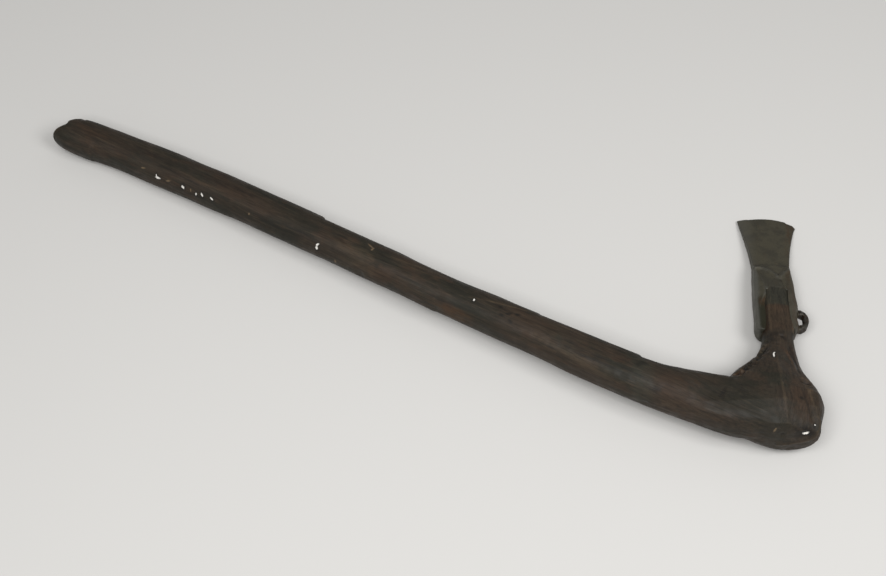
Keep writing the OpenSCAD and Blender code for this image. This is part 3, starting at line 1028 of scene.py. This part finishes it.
# %% The wood's recipe
def old_wood():
    """The finish of the handle, knee and tongue."""
    r = Recipe("haft_wood")
    table, turned = tool_places(r)
    x = parts_of(r, table)[0]
    v, u, w = parts_of(r, turned)
    on_trunk = (u.between(-75, -45) | v.between(-22, -4)) * x.between(-75, -40)
    shaft_grain = r.vector("MULTIPLY", table, (0.045, 1.0, 1.0))
    trunk_grain = r.vector("MULTIPLY", turned, (1.0, 0.06, 1.0))

    def grain(scale, detail, seed):
        """Noise drawn out along the handle, and along the neck on the trunk."""
        a = r.noise(shaft_grain, scale, detail, 0.6, seed)
        b = r.noise(trunk_grain, scale, detail, 0.6, seed + 1)
        return a * (1 - on_trunk) + b * on_trunk

    clouds = r.noise(r.vector("MULTIPLY", table, (0.35, 1.0, 1.0)), 0.055, 4.0, 0.6, 2)
    warm = r.noise(r.vector("MULTIPLY", table, (0.40, 1.0, 1.0)), 0.10, 4.0, 0.6, 5)
    mossy = r.noise(r.vector("MULTIPLY", table, (0.4, 1.0, 1.0)), 0.05, 3.0, 0.6, 9)
    streaks = grain(0.42, 5.0, 11)
    fine = grain(1.5, 3.0, 21)
    proud = r.layer("proud")

    colour = r.blend(clouds.between(0.42, 0.62), BROWN, OLIVE_BLACK)
    colour = r.blend(warm.between(0.50, 0.68) * 0.65, colour, RED_BROWN)
    colour = r.blend(mossy.between(0.54, 0.70) * 0.40, colour, GREY_GREEN)
    for layer, stain in LAYERS.items():
        colour = r.blend(r.layer(layer), colour, stain)
    # The tongue in the wings' gap is redder, and its tip a dull grey-green like the metal round it
    tip = u.between(25.0, 29.0) * v.between(-12, -9) * w.between(-1, 1)
    tine = u.between(-3, 1) * u.between(27.5, 25.5) * v.between(-20, -18)
    colour = r.blend(tip * 0.85, colour, GREY_GREEN)
    colour = r.blend(tine * 0.55, colour, RED_BROWN)
    colour = r.blend(streaks.between(0.50, 0.36) * 0.36, colour, SOOT_AND_SHADE)
    colour = r.blend(streaks.between(0.55, 0.72) * 0.12, colour, TAN_AND_HIGHLIGHT)
    colour = r.blend(fine.between(0.50, 0.36) * 0.42, colour, SOOT_AND_SHADE)
    colour = r.blend(fine.between(0.56, 0.70) * 0.12, colour, TAN_AND_HIGHLIGHT)
    # Raised places are painted a little lighter, a painted highlight, and hollows darker, painted shade
    colour = r.blend(proud.between(0.2, 1.0) * 0.2, colour, TAN_AND_HIGHLIGHT)
    colour = r.blend(proud.between(-0.2, -1.0) * 0.6, colour, SOOT_AND_SHADE)

    flakes = patches(r, table, CHIPS + on_head(HEAD_CHIPS), 0.3)
    faint = patches(r, table, FAINT + on_head(HEAD_FAINT), 0.5)
    colour = r.blend(r.layer("rim") * 0.65, colour, SOOT_AND_SHADE)
    colour = r.blend(faint * 0.8, colour, TAN_AND_HIGHLIGHT)
    colour = r.blend(flakes, colour, CHALK)

    gloss = r.noise(table, 0.12, 3.0, 0.5, 31)
    roughness = 0.60 - gloss.between(0.4, 0.7) * 0.16 + (1 - streaks) * 0.08
    height = streaks * 0.22 + fine * 0.10 + r.noise(table, 0.8, 3.0, 0.6, 41) * 0.10 - flakes * 0.4
    bump = r.add("ShaderNodeBump", None, Strength=1.0, Distance=MM, Height=height)
    return r.finish(colour, roughness, bump, Specular_IOR_Level=0.24)


wood_finish = old_wood()
print("wood recipe nodes:", len(wood_finish.node_tree.nodes))

# %% [markdown]
# ## Dark bronze
# The metal is hidden under a dull olive-grey patina. The round flank of the left wing and the blade's
# left bevel are painted a cooler and lighter grey, a painted sheen, the edges of the blade are brown,
# the groove beside the left wing is painted near-black olive, painted shade, with some rust in it,
# and the loop is speckled brown and black. Raised places are painted lighter grey, a painted
# highlight, and hollows near black, painted shade. Worn high places let a little metal shine through.

# %% Colours of the bronze
PATINA = (0.058, 0.052, 0.035)
PATINA_DARK = (0.036, 0.033, 0.024)
SHEEN_GREY = (0.090, 0.088, 0.076)
EDGE_BROWN = (0.054, 0.034, 0.019)
RUST_RED = (0.085, 0.038, 0.015)
GROOVE_SHADE = (0.014, 0.014, 0.006)
LOOP_BROWN = (0.030, 0.018, 0.010)
BLACK_SOOT_AND_SHADE = (0.006, 0.005, 0.004)


# %% The bronze's recipe
def dark_bronze():
    """The finish of the cast head."""
    r = Recipe("cast_bronze")
    table, turned = tool_places(r)
    v, u, w = parts_of(r, turned)
    proud = r.layer("proud")
    clouds = r.noise(table, 0.09, 4.0, 0.6, 3)
    drawn = r.noise(r.vector("MULTIPLY", turned, (1.0, 0.3, 1.0)), 0.22, 4.0, 0.6, 7)
    specks = r.noise(table, 0.9, 3.0, 0.65, 13)

    on_wings = u.between(74, 64)
    left = v.between(-12, -15.5) * on_wings
    right = v.between(9, 15) * on_wings
    loop = v.between(19.2, 21) * u.between(34, 30)
    right_bevel = v.between(12, 20) * u.between(68, 80) * drawn.between(0.40, 0.56)
    groove = v.between(-16, -14) * v.between(-6.5, -9.5) * u.between(39, 33) * w.between(2, 4)
    rust = groove * u.between(24, 33) * drawn.between(0.38, 0.56)
    tip = (u.between(38, 44) * u.between(66, 52)) * v.between(-11, -6) * v.between(9, 5)
    tip = tip * w.between(-1, 1)
    left_bevel = v.between(-9, -24) * u.between(66, 76)

    colour = r.blend(clouds.between(0.40, 0.65) * 0.8, PATINA, PATINA_DARK)
    # The left wing's round flank, and half as strongly the blade's left bevel, are painted a light grey
    # sheen
    colour = r.blend((left | left_bevel * 0.5) * 0.8, colour, SHEEN_GREY)
    colour = r.blend(tip * 0.7, colour, PATINA_DARK)
    colour = r.blend(right * drawn.between(0.35, 0.6) * 0.55, colour, EDGE_BROWN)
    colour = r.blend(right_bevel * 0.75, colour, EDGE_BROWN)
    # The groove beside the left wing is painted near-black olive, which is painted shade
    colour = r.blend(groove * 0.85, colour, GROOVE_SHADE)
    colour = r.blend(rust * 0.4, colour, RUST_RED)
    colour = r.blend(loop * 0.9, colour, LOOP_BROWN)
    colour = r.blend(loop * specks.between(0.58, 0.46), colour, BLACK_SOOT_AND_SHADE)
    colour = r.blend(loop * specks.between(0.56, 0.68) * 0.6, colour, RUST_RED)
    colour = r.blend(drawn.between(0.55, 0.72) * 0.25, colour, EDGE_BROWN)
    # Raised places are painted lighter grey, a painted highlight, and hollows near black, painted shade
    colour = r.blend(proud.between(0.2, 0.9) * 0.45, colour, SHEEN_GREY)
    colour = r.blend(proud.between(-0.2, -0.9) * 0.6, colour, BLACK_SOOT_AND_SHADE)
    colour = r.blend(specks.between(0.42, 0.30) * 0.5, colour, BLACK_SOOT_AND_SHADE)

    roughness = 0.5 + clouds.between(0.35, 0.65) * 0.14 - proud.between(0.2, 0.9) * 0.1
    metallic = 0.12 + proud.between(0.3, 1.0) * 0.35
    height = specks * 0.16 + drawn * 0.15 + clouds * 0.2
    bump = r.add("ShaderNodeBump", None, Strength=1.0, Distance=MM, Height=height)
    return r.finish(colour, roughness, bump, metallic, Specular_IOR_Level=0.3)


bronze_finish = dark_bronze()
print("bronze recipe nodes:", len(bronze_finish.node_tree.nodes))

# %% [markdown]
# ## Put the pieces in the frame
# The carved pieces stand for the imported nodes, ride on the one body of this rigid tool, and take
# their finish from the record's two slots.

# %% Finish, ride, replace
PIECES = (
    (haft, "haft", "haft_wood", wood_finish),
    (head, "adze_head", "cast_bronze", bronze_finish),
)
for piece, node, slot, material in PIECES:
    piece.data.materials.append(material)
    piece.data.polygons.foreach_set("use_smooth", [True] * len(piece.data.polygons))
    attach(piece, "root")
    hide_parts(node)
    print(piece.name, "stands for", node, "and takes", slot)

# %% [markdown]
# ## Table, light and camera
# A wide sheet of pale, matt paper lies under the tool, because dark wood and metal read best on it.

# %% The floor
bpy.ops.mesh.primitive_plane_add(size=8)
floor = bpy.context.object
floor.name = "floor"
paper = Recipe("pale_paper")
paper_grain = paper.noise(paper.add("ShaderNodeTexCoord", out="Object"), 900.0)
paper_bump = paper.add("ShaderNodeBump", None, Strength=0.1, Distance=MM / 10, Height=paper_grain)
floor.data.materials.append(paper.finish((0.66, 0.65, 0.63, 1.0), 0.9, paper_bump))
floor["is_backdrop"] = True
print("the floor is", round(floor.dimensions.x, 1), "m wide")

# %% [markdown]
# One soft light stands to the right in front of the tool and shapes its roundness. A larger and
# stronger one stands in front, near the eye, so that the shadow along the handle's near edge stays
# thin and pale. An even pale sky fills what is left. A sun would draw hard shadows on the paper.


# %% The lights and the sky
def soft_light(name, right, away, high, size, watts):
    """A square area light that looks at the tool's middle; its place and size are in metres."""
    lamp = bpy.data.lights.new(name, "AREA")
    lamp.size = size
    lamp.energy = watts
    light = bpy.data.objects.new(name, lamp)
    bpy.context.scene.collection.objects.link(light)
    place = TOOL_MIDDLE + right * VIEW_RIGHT + away * VIEW_AWAY + np.array([0, 0, high])
    light.location = place
    light.rotation_euler = Vector(TOOL_MIDDLE - place).to_track_quat("-Z", "Y").to_euler()
    print(name, "light at", place.round(2), "with", watts, "W")


soft_light("key", 1.0, -0.55, 1.5, 0.8, 14)
soft_light("front", -0.3, -0.85, 1.6, 1.0, 20)
sky = bpy.data.worlds.new("sky")
bpy.context.scene.world = sky
sky.use_nodes = True
background = sky.node_tree.nodes["Background"]
background.inputs["Color"].default_value = (1.0, 0.995, 0.985, 1.0)
background.inputs["Strength"].default_value = 0.28
bpy.context.scene.view_settings.view_transform = "Standard"

# %% [markdown]
# The camera stands at the eye's place. A long lens from far away keeps the head and the butt at one
# scale, as a copy stand does.

# %% The camera
eye = bpy.data.objects.new("camera", bpy.data.cameras.new("camera"))
bpy.context.scene.collection.objects.link(eye)
eye.data.lens = 70
eye.data.sensor_width = 36
eye.location = eye_place
eye.rotation_euler = Vector(-VIEW_BACK).to_track_quat("-Z", "Y").to_euler()
bpy.context.scene.camera = eye
print("lens", eye.data.lens, "mm, from", CAMERA_AWAY, "m away")

# %% [markdown]
# ## Compare sizes
# Carving may take wood and metal away but should not add much, so the carved tool's box is held
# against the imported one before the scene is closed.

# %% Compare sizes and finish
seen_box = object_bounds()
for axis, name in enumerate("XYZ"):
    packed_span = [round(corner[axis] / MM, 1) for corner in cad_box]
    carved_span = [round(corner[axis] / MM, 1) for corner in seen_box]
    print(name, "packed", packed_span, "carved", carved_span)
